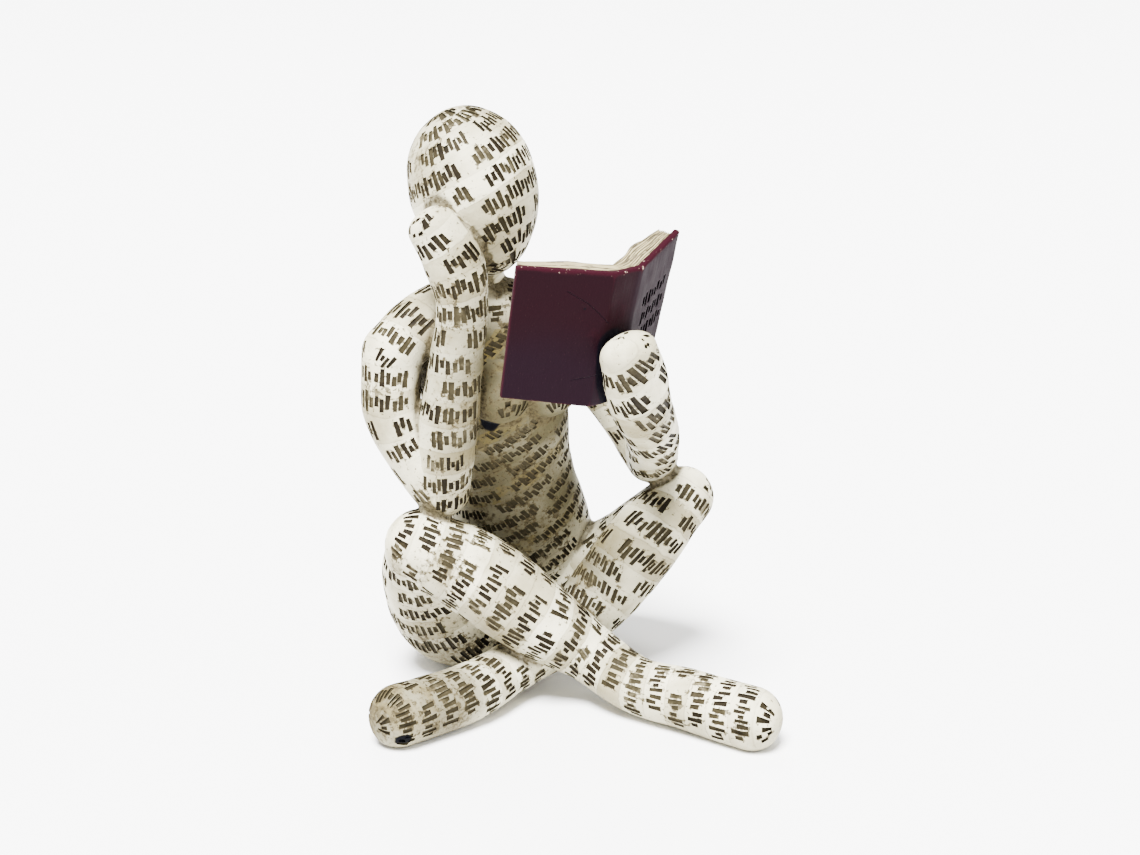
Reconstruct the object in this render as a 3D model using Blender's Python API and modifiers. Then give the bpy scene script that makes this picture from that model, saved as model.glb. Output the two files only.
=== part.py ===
# Seated reading figurine in cast resin
# A slender woman with a smooth featureless head sits with crossed shins.
# Her right hand lies on her cheek, and her left hand holds a small open book by its spine.
# Metres, +Z up. She faces -Y, her right side is at -X, and she rests on Z = 0.

import math

import bmesh
import bpy
import numpy as np
from mathutils import Matrix, Vector

# Driving sizes of the figure
FIGURE_HEIGHT = 0.168                    # seat to crown
POSE_HEIGHT = 168.0                      # height that the pose below is drawn at
UNIT = FIGURE_HEIGHT / POSE_HEIGHT       # one unit of the pose
SURFACE_CELL = 0.8                       # cell that the limbs are fused on, in pose units
SOFTEN_PASSES = 5                        # rounds off the creases where limbs meet
KEPT_FACES = 0.0355                      # share of the fused faces that the casting keeps
LIMB_SIDES = 24
LIMB_RINGS = 40
END_CROWDING = 0.6                       # share of the rings' spacing that crowds the round ends
HEAD_SIDES = 36
HEAD_RINGS = 24
SHARP_ANGLE = math.radians(40.0)
GROUND_REACH = 3.0                       # cutter under the figure, in figure heights

# Driving sizes of the book
BOOK_HEIGHT = 0.0410
COVER_WIDTH_TOP = 0.0258                 # one board from spine to fore edge, at the head
COVER_WIDTH_FOOT = 0.0240                # and at the foot, where it is worn narrower
COVER_THICKNESS = 0.0018
SPINE_WIDTH = 0.0090
FOOT_RISE = 0.0018                       # the boards' foot edge climbs this far to the fore edge
LEAVES_THICKNESS = 0.0050                # block of leaves on each board
LEAVES_INSET = 0.0011                    # boards stand out this far round the leaves
LEAVES_PROFILE = [(1.0, 0.75), (0.72, 1.0), (0.45, 1.25), (0.24, 1.15)]  # share of width, of thickness
GUTTER_DEPTH = 0.0048                    # leaves over the spine, in the gutter
FOLD_ANGLE = math.radians(28.0)          # each board folds in from the plane of the spine
EDGE_ROUND = 0.0004
BOND_GAP = 0.0003                        # glue line between the hand and the book

# Place of the book: middle of the spine's outer face in pose units, and its lean
BOOK_PLACE = (-1.1, -30.3, 115.2)
BOOK_TURN = math.radians(14.0)           # turned about the vertical, to face her head
BOOK_TILT = math.radians(17.7)           # head of the book leans away from her
BOOK_LEAN = math.radians(-2.0)           # head of the book leans to her right

# Head: an egg whose blunt end is the crown
HEAD_CENTRE = (-16.3, 27.4, 144.6)
HEAD_AXIS = (-0.13, 0.29, 0.95)
HEAD_HALF_LENGTH = 23.6
HEAD_HALF_WIDTH = 17.8
HEAD_HALF_DEPTH = 19.8
HEAD_TAPER = 0.08

# Limbs: the direction of the half width, then stations along the limb.
# A station is x, y, z, half width and half depth in pose units.
ACROSS = (0.91, -0.42, 0.0)
UPRIGHT = (0.0, 0.0, 1.0)
LIMBS = {
    "neck": (ACROSS, [
        (-12.3, 30.0, 98.0, 10.5, 10.0),
        (-14.6, 30.0, 109.4, 8.8, 8.6),
        (-15.8, 29.4, 124.0, 8.2, 8.5)]),
    "torso": ((1.0, -0.15, 0.0), [
        (6.5, 53.0, 14.0, 20.5, 14.5),
        (6.0, 51.7, 24.0, 24.3, 18.0),
        (3.2, 46.4, 38.7, 22.6, 16.0),
        (-1.4, 38.5, 59.3, 18.3, 12.8),
        (-6.2, 33.0, 78.5, 19.3, 13.6),
        (-12.4, 28.8, 93.8, 21.0, 13.0),
        (-16.5, 27.2, 103.0, 20.0, 10.5)]),
    "right_breast": (ACROSS, [
        (-13.0, 22.2, 92.0, 9.0, 8.5),
        (-12.6, 19.4, 88.0, 9.0, 8.5)]),
    "left_breast": (ACROSS, [
        (1.0, 22.0, 92.0, 9.0, 8.5),
        (2.0, 19.6, 88.0, 9.0, 8.5)]),
    "shoulders": (UPRIGHT, [
        (-42.3, 25.2, 102.3, 8.4, 8.4),
        (-34.5, 25.9, 108.3, 8.6, 9.2),
        (-16.1, 27.0, 111.6, 9.5, 10.4),
        (0.3, 24.6, 107.0, 8.6, 9.6),
        (7.6, 23.2, 101.5, 8.0, 8.2)]),
    "right_upper_arm": (ACROSS, [
        (-42.3, 25.2, 102.3, 8.4, 8.4),
        (-42.6, 25.0, 85.2, 8.2, 8.2),
        (-35.2, 22.6, 69.6, 8.2, 8.1),
        (-30.2, 20.8, 62.2, 8.2, 8.1)]),
    "right_forearm_and_hand": (ACROSS, [
        (-30.2, 20.8, 62.2, 8.2, 8.1),
        (-30.1, 15.6, 80.8, 8.4, 8.0),
        (-28.3, 12.6, 102.0, 7.4, 6.8),
        (-27.0, 11.4, 118.6, 7.2, 6.2),
        (-28.9, 12.6, 129.6, 8.4, 5.9),
        (-33.6, 14.4, 138.8, 7.2, 5.3)]),
    "left_upper_arm": (ACROSS, [
        (7.6, 23.0, 101.5, 8.0, 8.0),
        (21.4, 18.6, 84.0, 7.7, 7.7),
        (33.6, 15.6, 63.6, 7.6, 7.4)]),
    "left_forearm_and_hand": ((1.0, 0.0, 0.0), [
        (33.6, 15.6, 63.6, 7.6, 7.4),
        (23.4, -4.0, 78.7, 7.6, 7.5),
        (11.3, -21.0, 92.9, 8.5, 6.6),
        (4.9, -30.0, 103.6, 8.7, 5.8),
        (0.0, -35.9, 113.0, 7.9, 5.2)]),
    "right_thigh": (ACROSS, [
        (-0.8, 46.9, 9.5, 16.0, 15.0),
        (-19.4, 37.7, 17.0, 17.4, 16.8),
        (-31.6, 27.9, 35.0, 14.2, 13.6),
        (-37.2, 19.6, 46.4, 10.4, 10.4)]),
    "right_shin_and_foot": (UPRIGHT, [
        (-37.2, 19.6, 46.4, 10.4, 10.4),
        (-25.5, 13.4, 39.2, 12.2, 12.2),
        (-7.9, 3.2, 24.6, 11.2, 11.2),
        (4.6, -3.6, 14.8, 8.6, 8.6),
        (12.0, -15.7, 9.2, 8.1, 8.2),
        (22.5, -30.9, 8.2, 8.6, 8.7),
        (32.5, -48.1, 8.0, 9.0, 8.6)]),
    "left_thigh": (UPRIGHT, [
        (14.2, 48.6, 12.5, 15.5, 15.5),
        (29.4, 35.0, 26.4, 11.7, 11.7),
        (38.0, 21.0, 41.5, 9.8, 9.8),
        (41.5, 10.8, 51.9, 9.0, 9.0)]),
    "left_shin_and_foot": (UPRIGHT, [
        (41.5, 10.8, 51.9, 9.0, 9.0),
        (29.6, 9.8, 41.8, 11.0, 11.0),
        (17.4, 12.6, 26.2, 10.5, 10.5),
        (4.0, 12.0, 14.8, 8.2, 8.2),
        (-12.2, 8.9, 9.8, 7.5, 7.6),
        (-31.6, 0.1, 8.1, 8.2, 8.4),
        (-54.3, -5.6, 8.0, 8.9, 8.6)]),
}

# Colours: linear red, green and blue, then roughness
IVORY_RESIN = ((0.78, 0.75, 0.66), 0.45)
PLUM_PAINT = ((0.085, 0.022, 0.045), 0.35)


def clear_scene():
    for item in list(bpy.data.objects):
        bpy.data.objects.remove(item, do_unlink=True)


def new_collection(name):
    collection = bpy.data.collections.new(name)
    bpy.context.scene.collection.children.link(collection)
    return collection


def principled(name, colour, roughness):
    material = bpy.data.materials.new(name)
    material.use_nodes = True
    shader = material.node_tree.nodes["Principled BSDF"]
    shader.inputs["Base Color"].default_value = (*colour, 1.0)
    shader.inputs["Roughness"].default_value = roughness
    shader.inputs["Metallic"].default_value = 0.0
    material.diffuse_color = (*colour, 1.0)
    return material


def add_object(name, bm, collection, material=None):
    bmesh.ops.recalc_face_normals(bm, faces=bm.faces)
    mesh = bpy.data.meshes.new(name)
    bm.to_mesh(mesh)
    bm.free()
    item = bpy.data.objects.new(name, mesh)
    collection.objects.link(item)
    if material:
        mesh.materials.append(material)
    return item


def mark_cutter(item):
    item.hide_render = True
    item.display_type = "WIRE"


# Values carried smoothly through every station: a cubic between neighbours,
# with the slope at a station shared by the two stretches that meet there
def through_stations(values, distance, at):
    steps = np.diff(distance)
    slopes = np.diff(values, axis=0) / steps[:, None]
    tangents = np.vstack([slopes[:1], slopes])
    before = steps[:-1, None]
    after = steps[1:, None]
    tangents[1:-1] = (slopes[:-1] * after + slopes[1:] * before) / (before + after)
    index = np.clip(np.searchsorted(distance, at, side="right") - 1, 0, len(steps) - 1)
    width = steps[index][:, None]
    t = (at - distance[index])[:, None] / width
    start = (2 * t**3 - 3 * t**2 + 1) * values[index]
    start_slope = (t**3 - 2 * t**2 + t) * width * tangents[index]
    end = (3 * t**2 - 2 * t**3) * values[index + 1]
    end_slope = (t**3 - t**2) * width * tangents[index + 1]
    return start + start_slope + end + end_slope


# Rings of a limb: ellipses across a smooth path, closing to a round end past each end station
def limb_rings(side, stations):
    rows = np.array(stations, float)
    first_cap = rows[0, 3:].min()
    last_cap = rows[-1, 3:].min()
    first = rows[0].copy()
    last = rows[-1].copy()
    lead_in = rows[0, :3] - rows[1, :3]
    lead_out = rows[-1, :3] - rows[-2, :3]
    first[:3] += lead_in / np.linalg.norm(lead_in) * first_cap
    last[:3] += lead_out / np.linalg.norm(lead_out) * last_cap
    rows = np.vstack([first, rows, last])
    spans = np.linalg.norm(np.diff(rows[:, :3], axis=0), axis=1)
    distance = np.concatenate([[0.0], np.cumsum(spans)])
    length = distance[-1]
    even = np.linspace(0.0, 1.0, LIMB_RINGS)
    crowded = (1.0 - np.cos(math.pi * even)) / 2.0
    at = length * (END_CROWDING * crowded + (1.0 - END_CROWDING) * even)
    path = through_stations(rows, distance, at)
    near_start = np.sqrt(1.0 - np.clip(1.0 - at / first_cap, 0.0, 1.0) ** 2)
    near_end = np.sqrt(1.0 - np.clip(1.0 - (length - at) / last_cap, 0.0, 1.0) ** 2)
    closing = near_start * near_end
    rings = []
    for ring in range(1, LIMB_RINGS - 1):
        tangent = Vector(path[ring + 1, :3] - path[ring - 1, :3]).normalized()
        across = Vector(side)
        across = (across - tangent * across.dot(tangent)).normalized()
        over = tangent.cross(across)
        centre = Vector(path[ring, :3])
        half_width = path[ring, 3] * closing[ring]
        half_depth = path[ring, 4] * closing[ring]
        points = []
        for step in range(LIMB_SIDES):
            angle = 2.0 * math.pi * step / LIMB_SIDES
            offset = across * half_width * math.cos(angle) + over * half_depth * math.sin(angle)
            points.append((centre + offset) * UNIT)
        rings.append(points)
    tips = (Vector(path[0, :3]) * UNIT, Vector(path[-1, :3]) * UNIT)
    return rings, tips


def add_limb(bm, side, stations):
    rings, tips = limb_rings(side, stations)
    loops = [[bm.verts.new(point) for point in ring] for ring in rings]
    for low, high in zip(loops, loops[1:]):
        for step in range(LIMB_SIDES):
            following = (step + 1) % LIMB_SIDES
            bm.faces.new((low[step], low[following], high[following], high[step]))
    for tip, loop in zip(tips, (loops[0], loops[-1])):
        point = bm.verts.new(tip)
        for step in range(LIMB_SIDES):
            bm.faces.new((point, loop[step], loop[(step + 1) % LIMB_SIDES]))


# The egg is a sphere whose width grows towards the crown
def add_head(bm):
    sphere = bmesh.ops.create_uvsphere(bm, u_segments=HEAD_SIDES, v_segments=HEAD_RINGS, radius=1.0)
    axis = Vector(HEAD_AXIS).normalized()
    across = Vector(ACROSS)
    across = (across - axis * across.dot(axis)).normalized()
    over = axis.cross(across)
    for vert in sphere["verts"]:
        swell = 1.0 + HEAD_TAPER * vert.co.z
        offset = across * vert.co.x * HEAD_HALF_WIDTH * swell
        offset += over * vert.co.y * HEAD_HALF_DEPTH * swell
        offset += axis * vert.co.z * HEAD_HALF_LENGTH
        vert.co = (Vector(HEAD_CENTRE) + offset) * UNIT


def build_figure(collection, cutters, material):
    bm = bmesh.new()
    for side, stations in LIMBS.values():
        add_limb(bm, side, stations)
    add_head(bm)
    figure = add_object("reading_figure", bm, collection, material)

    fuse = figure.modifiers.new("fuse limbs", "REMESH")
    fuse.mode = "VOXEL"
    fuse.voxel_size = SURFACE_CELL * UNIT
    soften = figure.modifiers.new("soften creases", "SMOOTH")
    soften.factor = 0.5
    soften.iterations = SOFTEN_PASSES
    thin = figure.modifiers.new("keep fewer faces", "DECIMATE")
    thin.ratio = KEPT_FACES
    for cutter in cutters:
        cut = figure.modifiers.new("cut by " + cutter.name, "BOOLEAN")
        cut.object = cutter
        cut.operation = "DIFFERENCE"
        cut.solver = "EXACT"
    return figure


# Everything below the surface that the figurine stands on
def build_ground_cutter(collection):
    reach = GROUND_REACH * FIGURE_HEIGHT
    below = Matrix.Translation((0.0, 0.0, -reach / 2.0))
    bm = bmesh.new()
    bmesh.ops.create_cube(bm, size=reach, matrix=below)
    cutter = add_object("below_ground", bm, collection)
    mark_cutter(cutter)
    return cutter


# The book's own axes: X across both covers to her left, Y into the leaves, Z up the spine
def book_matrix():
    turn = Matrix.Rotation(BOOK_TURN, 4, "Z")
    tilt = Matrix.Rotation(BOOK_TILT, 4, "X")
    lean = Matrix.Rotation(BOOK_LEAN, 4, "Y")
    return Matrix.Translation(Vector(BOOK_PLACE) * UNIT) @ turn @ tilt @ lean


# A point on a board, measured out from the spine's edge and in from the board's outer face
def on_board(hand, out, into):
    x = SPINE_WIDTH / 2.0 + out * math.cos(FOLD_ANGLE) - into * math.sin(FOLD_ANGLE)
    y = out * math.sin(FOLD_ANGLE) + into * math.cos(FOLD_ANGLE)
    return (hand * x, y)


# Section of the cover: along the outside, then back along the inside
def cover_section(width, thickness, grow=0.0):
    inner = thickness + grow
    mitre = grow * math.tan(FOLD_ANGLE / 2.0)
    fold = inner * math.tan(FOLD_ANGLE / 2.0)
    spine = SPINE_WIDTH / 2.0
    return [
        on_board(-1, width + grow, -grow),
        (-spine - mitre, -grow),
        (spine + mitre, -grow),
        on_board(1, width + grow, -grow),
        on_board(1, width + grow, inner),
        (spine - fold, inner),
        (-spine + fold, inner),
        on_board(-1, width + grow, inner),
    ]


# Section of the leaves: out along the board, back over the swell, and down into the gutter
def leaves_section(width):
    base = COVER_THICKNESS / 2.0
    half = [on_board(1, 0.0, base), on_board(1, width, base)]
    for out, height in LEAVES_PROFILE:
        half.append(on_board(1, width * out, COVER_THICKNESS + LEAVES_THICKNESS * height))
    mirrored = [(-x, y) for x, y in half]
    return half + [(0.0, COVER_THICKNESS + GUTTER_DEPTH)] + mirrored[::-1]


# A loft from the foot section to the head section of the book.
# The foot climbs evenly from the spine out to the fore edges.
def add_book_loft(bm, foot, head, half_height):
    reach = max(x for x, _ in foot)
    low = [bm.verts.new((x, y, FOOT_RISE * abs(x) / reach - half_height)) for x, y in foot]
    high = [bm.verts.new((x, y, half_height)) for x, y in head]
    count = len(low)
    for step in range(count):
        following = (step + 1) % count
        bm.faces.new((low[step], low[following], high[following], high[step]))
    bm.faces.new(low[::-1])
    bm.faces.new(high)


def add_bevel(item, width):
    rounded = item.modifiers.new("worn edges", "BEVEL")
    rounded.width = width
    rounded.segments = 2
    rounded.limit_method = "ANGLE"
    rounded.angle_limit = SHARP_ANGLE


def build_book(collection, cutters, material):
    bm = bmesh.new()
    foot = cover_section(COVER_WIDTH_FOOT, COVER_THICKNESS)
    head = cover_section(COVER_WIDTH_TOP, COVER_THICKNESS)
    add_book_loft(bm, foot, head, BOOK_HEIGHT / 2.0)
    book = add_object("open_book", bm, collection, material)
    add_bevel(book, EDGE_ROUND)

    bm = bmesh.new()
    foot = leaves_section(COVER_WIDTH_FOOT - LEAVES_INSET)
    head = leaves_section(COVER_WIDTH_TOP - LEAVES_INSET)
    add_book_loft(bm, foot, head, BOOK_HEIGHT / 2.0 - LEAVES_INSET)
    leaves = add_object("leaves_former", bm, cutters)
    add_bevel(leaves, EDGE_ROUND)
    mark_cutter(leaves)

    union = book.modifiers.new("leaves cast with the cover", "BOOLEAN")
    union.object = leaves
    union.operation = "UNION"
    union.solver = "EXACT"
    book.matrix_world = book_matrix()
    leaves.matrix_world = book_matrix()
    return book, leaves


# The whole book with the glue line round it, which the hand is shaped to
def build_grip_cutter(collection):
    bm = bmesh.new()
    thickness = COVER_THICKNESS + LEAVES_THICKNESS * max(height for _, height in LEAVES_PROFILE)
    foot = cover_section(COVER_WIDTH_FOOT, thickness, BOND_GAP)
    head = cover_section(COVER_WIDTH_TOP, thickness, BOND_GAP)
    add_book_loft(bm, foot, head, BOOK_HEIGHT / 2.0 + BOND_GAP)
    cutter = add_object("book_clearance", bm, collection)
    cutter.matrix_world = book_matrix()
    mark_cutter(cutter)
    return cutter


# Stands the origin under the middle of the finished figurine
def centre_over_origin(parts, everything):
    bpy.context.view_layer.update()
    depsgraph = bpy.context.evaluated_depsgraph_get()
    corners = []
    for part in parts:
        evaluated = part.evaluated_get(depsgraph)
        mesh = evaluated.to_mesh()
        points = np.empty(len(mesh.vertices) * 3)
        mesh.vertices.foreach_get("co", points)
        turn = np.array(part.matrix_world)
        points = points.reshape(-1, 3) @ turn[:3, :3].T + turn[:3, 3]
        corners += [points.min(axis=0), points.max(axis=0)]
        evaluated.to_mesh_clear()
    corners = np.array(corners)
    middle = (corners.min(axis=0) + corners.max(axis=0)) / 2.0
    root = bpy.data.objects.new("underside_middle", None)
    bpy.context.scene.collection.objects.link(root)
    for item in everything:
        item.parent = root
    root.location = (-middle[0], -middle[1], 0.0)


def main():
    clear_scene()
    parts = new_collection("reading_woman_figurine")
    cutters = new_collection("cutters")
    ground = build_ground_cutter(cutters)
    grip = build_grip_cutter(cutters)
    figure = build_figure(parts, [ground, grip], principled("ivory_resin", *IVORY_RESIN))
    book, leaves = build_book(parts, cutters, principled("plum_paint", *PLUM_PAINT))
    for casting in (figure, book):
        casting.data.shade_smooth()
        casting.data.set_sharp_from_angle(angle=SHARP_ANGLE)
    centre_over_origin([figure, book], [ground, grip, figure, book, leaves])


main()
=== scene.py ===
import math

import bpy
import numpy as np
from mathutils import Matrix, Vector
from mathutils.bvhtree import BVHTree


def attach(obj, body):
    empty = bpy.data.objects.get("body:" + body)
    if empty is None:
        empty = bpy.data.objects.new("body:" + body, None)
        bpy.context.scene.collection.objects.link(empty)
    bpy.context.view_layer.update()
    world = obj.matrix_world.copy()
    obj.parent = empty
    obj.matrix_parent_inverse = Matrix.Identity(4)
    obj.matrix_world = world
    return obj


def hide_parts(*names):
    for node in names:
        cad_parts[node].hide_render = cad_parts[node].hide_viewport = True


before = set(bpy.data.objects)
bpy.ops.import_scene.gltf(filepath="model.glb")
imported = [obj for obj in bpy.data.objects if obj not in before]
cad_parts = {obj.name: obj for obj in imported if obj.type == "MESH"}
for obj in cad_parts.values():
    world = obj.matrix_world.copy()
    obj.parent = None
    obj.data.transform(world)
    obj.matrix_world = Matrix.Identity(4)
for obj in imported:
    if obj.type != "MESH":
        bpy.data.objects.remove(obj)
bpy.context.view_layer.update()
mm = 0.001
print("frame loaded:", sorted(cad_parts))


# small helpers

# points (n, 3) and faces (m, corners) of equal size become a mesh object at the origin
def meshObject(name, points, faces, material=None, smooth=True):
    mesh = bpy.data.meshes.new(name)
    mesh.vertices.add(len(points))
    mesh.vertices.foreach_set("co", np.asarray(points, np.float32).ravel())
    mesh.loops.add(faces.size)
    mesh.loops.foreach_set("vertex_index", np.asarray(faces, np.int32).ravel())
    mesh.polygons.add(len(faces))
    mesh.polygons.foreach_set("loop_start", np.arange(0, faces.size, faces.shape[1], dtype=np.int32))
    mesh.update(calc_edges=True)
    mesh.validate()
    mesh.polygons.foreach_set("use_smooth", np.full(len(mesh.polygons), smooth))
    item = bpy.data.objects.new(name, mesh)
    bpy.context.scene.collection.objects.link(item)
    if material:
        mesh.materials.append(material)
    return item


# corner numbers of the quads of a grid with rows by columns points, round its columns if closed
def gridQuads(rows, columns, closed=False):
    row = np.arange(rows - 1)[:, None]
    column = np.arange(columns if closed else columns - 1)[None, :]
    following = (column + 1) % columns
    quads = np.stack([row * columns + column, row * columns + following,
                      (row + 1) * columns + following, (row + 1) * columns + column], axis=-1)
    return quads.reshape(-1, 4)


# one property of each element of a mesh's list, as rows of three numbers or as single whole ones
def listOf(elements, key, width=3):
    flat = np.empty(len(elements) * width, np.float32 if width == 3 else np.int32)
    elements.foreach_get(key, flat)
    return flat.reshape(-1, 3).astype(float) if width == 3 else flat


def pointsOf(mesh):
    return listOf(mesh.vertices, "co")


def setPointValues(item, name, values):
    layer = item.data.attributes.new(name, "FLOAT", "POINT")
    layer.data.foreach_set("value", np.asarray(values, np.float32))


# two coordinates for each corner of each face
def setFlatMap(item, name, coordinates):
    layer = item.data.uv_layers.new(name=name)
    layer.data.foreach_set("uv", coordinates.astype(np.float32).ravel())


def adjust(thing, **settings):
    for key, value in settings.items():
        setattr(thing, key, value)
    return thing


# turns the live modifiers into plain mesh
def applyModifiers(item):
    graph = bpy.context.evaluated_depsgraph_get()
    made = bpy.data.meshes.new_from_object(item.evaluated_get(graph), depsgraph=graph)
    item.modifiers.clear()
    item.data = made
    return item


# takes closed cutters out of a piece; the faces they leave have the cutters' materials
def cutBy(item, *cutters):
    for cutter in cutters:
        adjust(item.modifiers.new("cut by " + cutter.name, "BOOLEAN"), object=cutter,
               operation="DIFFERENCE", solver="MANIFOLD", material_mode="TRANSFER")
    applyModifiers(item)
    for cutter in cutters:
        bpy.data.objects.remove(cutter)


def unit(vectors):
    return vectors / np.maximum(np.linalg.norm(vectors, axis=-1, keepdims=True), 1e-12)


# squared distances of points from places: the sum of both squares less twice their product
def squares(points, places):
    both = (points ** 2).sum(axis=1)[:, None] + (places ** 2).sum(axis=1)
    return np.maximum(both - 2 * points @ places.T, 0)


# the figure's wraps: each is a path with an elliptical section

figureSet = {
    "shift": (6.0695, -6.4547, 0.0),  # mm, the drawing's own origin to the frame's
    "fuseCell": 0.6,  # mm, limbs are melted together on this cell
    "softening": 7,
    "keptFaces": 0.10,
    "lumps": 0.10,  # mm, hand-pressed unevenness
    "lumpWaves": 10,
    "lumpLengths": (0.007, 0.022),  # m
    "ringCount": 90,
    "sideCount": 48,
}

acrossView = (0.91, -0.42, 0.0)
upright = (0.0, 0.0, 1.0)

# direction of the half width, then stations: x, y, z, half width, half depth in mm
limbs = {
    "neck": (acrossView, [
        (-12.3, 30, 98, 10.5, 10), (-14.6, 30, 109.4, 8.8, 8.6), (-15.8, 29.4, 124, 8.2, 8.5)]),
    "torso": ((1, -0.15, 0), [
        (6.5, 53, 14, 20.5, 14.5), (6, 51.7, 24, 24.3, 18), (3.2, 46.4, 38.7, 22.6, 16),
        (-1.4, 38.5, 59.3, 18.3, 12.8), (-6.2, 33, 78.5, 19.3, 13.6), (-12.4, 28.8, 93.8, 21, 13),
        (-16.5, 27.2, 103, 20, 10.5)]),
    "rightBreast": (acrossView, [
        (-13, 22.2, 92, 9, 8.5), (-12.6, 19.4, 88, 9, 8.5)]),
    "leftBreast": (acrossView, [
        (1, 22, 92, 9, 8.5), (2, 19.6, 88, 9, 8.5)]),
    "shoulders": (upright, [
        (-42.3, 25.2, 102.3, 8.4, 8.4), (-34.5, 25.9, 108.3, 8.6, 9.2), (-16.1, 27, 111.6, 9.5, 10.4),
        (0.3, 24.6, 107, 8.6, 9.6), (7.6, 23.2, 101.5, 8, 8.2)]),
    "rightUpperArm": (acrossView, [
        (-42.3, 25.2, 102.3, 8.4, 8.4), (-42.6, 25, 85.2, 8.2, 8.2), (-35.2, 22.6, 69.6, 8.2, 8.1),
        (-30.2, 20.8, 62.2, 8.2, 8.1)]),
    "rightForearm": (acrossView, [
        (-30.2, 20.8, 62.2, 8.2, 8.1), (-30.1, 15.6, 80.8, 8.4, 8), (-28.3, 12.6, 102, 7.4, 6.8),
        (-27, 11.4, 118.6, 7.2, 6.2), (-28.9, 12.6, 129.6, 8.4, 5.9), (-33.6, 14.4, 138.8, 7.2, 5.3)]),
    "leftUpperArm": (acrossView, [
        (7.6, 23, 101.5, 8, 8), (21.4, 18.6, 84, 7.7, 7.7), (33.6, 15.6, 63.6, 7.6, 7.4)]),
    "leftForearm": ((1, 0, 0), [
        (33.6, 15.6, 63.6, 7.6, 7.4), (23.4, -4, 78.7, 7.6, 7.5), (11.3, -21, 92.9, 8.5, 6.6),
        (4.9, -30, 103.6, 8.7, 5.8), (0, -35.9, 113, 7.9, 5.2)]),
    "rightThigh": (acrossView, [
        (-0.8, 46.9, 9.5, 16, 15), (-19.4, 37.7, 17, 17.4, 16.8), (-31.6, 27.9, 35, 14.2, 13.6),
        (-37.2, 19.6, 46.4, 10.4, 10.4)]),
    "rightShin": (upright, [
        (-37.2, 19.6, 46.4, 10.4, 10.4), (-25.5, 13.4, 39.2, 12.2, 12.2), (-7.9, 3.2, 24.6, 11.2, 11.2),
        (4.6, -3.6, 14.8, 8.6, 8.6), (12, -15.7, 9.2, 8.1, 8.2), (22.5, -30.9, 8.2, 8.6, 8.7),
        (32.5, -48.1, 8, 9, 8.6)]),
    "leftThigh": (upright, [
        (14.2, 48.6, 12.5, 15.5, 15.5), (29.4, 35, 26.4, 11.7, 11.7), (38, 21, 41.5, 9.8, 9.8),
        (41.5, 10.8, 51.9, 9, 9)]),
    "leftShin": (upright, [
        (41.5, 10.8, 51.9, 9, 9), (29.6, 9.8, 41.8, 11, 11), (17.4, 12.6, 26.2, 10.5, 10.5),
        (4, 12, 14.8, 8.2, 8.2), (-12.2, 8.9, 9.8, 7.5, 7.6), (-31.6, 0.1, 8.1, 8.2, 8.4),
        (-54.3, -5.6, 8, 8.9, 8.6)]),
}

headSet = {
    "centre": (-16.3, 27.4, 144.6),
    "axis": (-0.13, 0.29, 0.95),
    "halfLength": 23.6,
    "halfWidth": 17.8,
    "halfDepth": 19.8,
    "swell": 0.08,  # the crown is wider than the chin by this share
}


# a cubic between neighbouring stations, whose slope at a station is the mean of the two
# stretches there, each weighed by the other's length
def throughStations(values, distance, at):
    steps = np.diff(distance)
    slopes = np.diff(values, axis=0) / steps[:, None]
    tangents = np.vstack([slopes[:1], slopes])
    before, after = steps[:-1, None], steps[1:, None]
    tangents[1:-1] = (slopes[:-1] * after + slopes[1:] * before) / (before + after)
    index = np.clip(np.searchsorted(distance, at, side="right") - 1, 0, len(steps) - 1)
    width = steps[index][:, None]
    t = (at - distance[index])[:, None] / width
    return ((2 * t**3 - 3 * t**2 + 1) * values[index] + (t**3 - 2 * t**2 + t) * width * tangents[index]
            + (3 * t**2 - 2 * t**3) * values[index + 1] + (t**3 - t**2) * width * tangents[index + 1])


# sections along a limb: centres on the cubic, half sizes closed by a quarter circle at each end
def limbSections(side, stations, count):
    rows = np.array(stations, float)
    caps = rows[[0, -1], 3:].min(axis=1)
    ends = rows[[0, -1]].copy()
    ends[0, :3] += unit(rows[0, :3] - rows[1, :3]) * caps[0]
    ends[1, :3] += unit(rows[-1, :3] - rows[-2, :3]) * caps[1]
    rows = np.vstack([ends[:1], rows, ends[1:]])
    distance = np.concatenate([[0.0], np.cumsum(np.linalg.norm(np.diff(rows[:, :3], axis=0), axis=1))])
    even = np.linspace(0.0, 1.0, count)
    at = distance[-1] * (0.6 * (1.0 - np.cos(math.pi * even)) / 2.0 + 0.4 * even)
    path = throughStations(rows, distance, at)
    closing = np.sqrt(1.0 - np.clip(1.0 - at / caps[0], 0.0, 1.0) ** 2)
    closing *= np.sqrt(1.0 - np.clip(1.0 - (distance[-1] - at) / caps[1], 0.0, 1.0) ** 2)
    along = unit(np.gradient(path[:, :3], axis=0))
    across = np.array(side)[None, :]
    across = unit(across - along * (along * across).sum(axis=1, keepdims=True))
    return sections(path[:, :3], across, np.cross(along, across), path[:, 3] * closing, path[:, 4] * closing)


# sections along the egg: the angle from the chin to the crown gives height by its sine and width
# by its cosine
def headSections(count):
    angle = np.linspace(-math.pi / 2, math.pi / 2, count)
    axis = unit(np.array(headSet["axis"]))
    across = unit(np.array(acrossView) - axis * np.dot(acrossView, axis))
    over = np.cross(axis, across)
    centre = np.array(headSet["centre"]) + axis * headSet["halfLength"] * np.sin(angle)[:, None]
    swell = np.cos(angle) * (1.0 + headSet["swell"] * np.sin(angle))
    whole = np.ones((count, 1))
    return sections(centre, across * whole, over * whole,
                    headSet["halfWidth"] * swell, headSet["halfDepth"] * swell)


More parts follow.
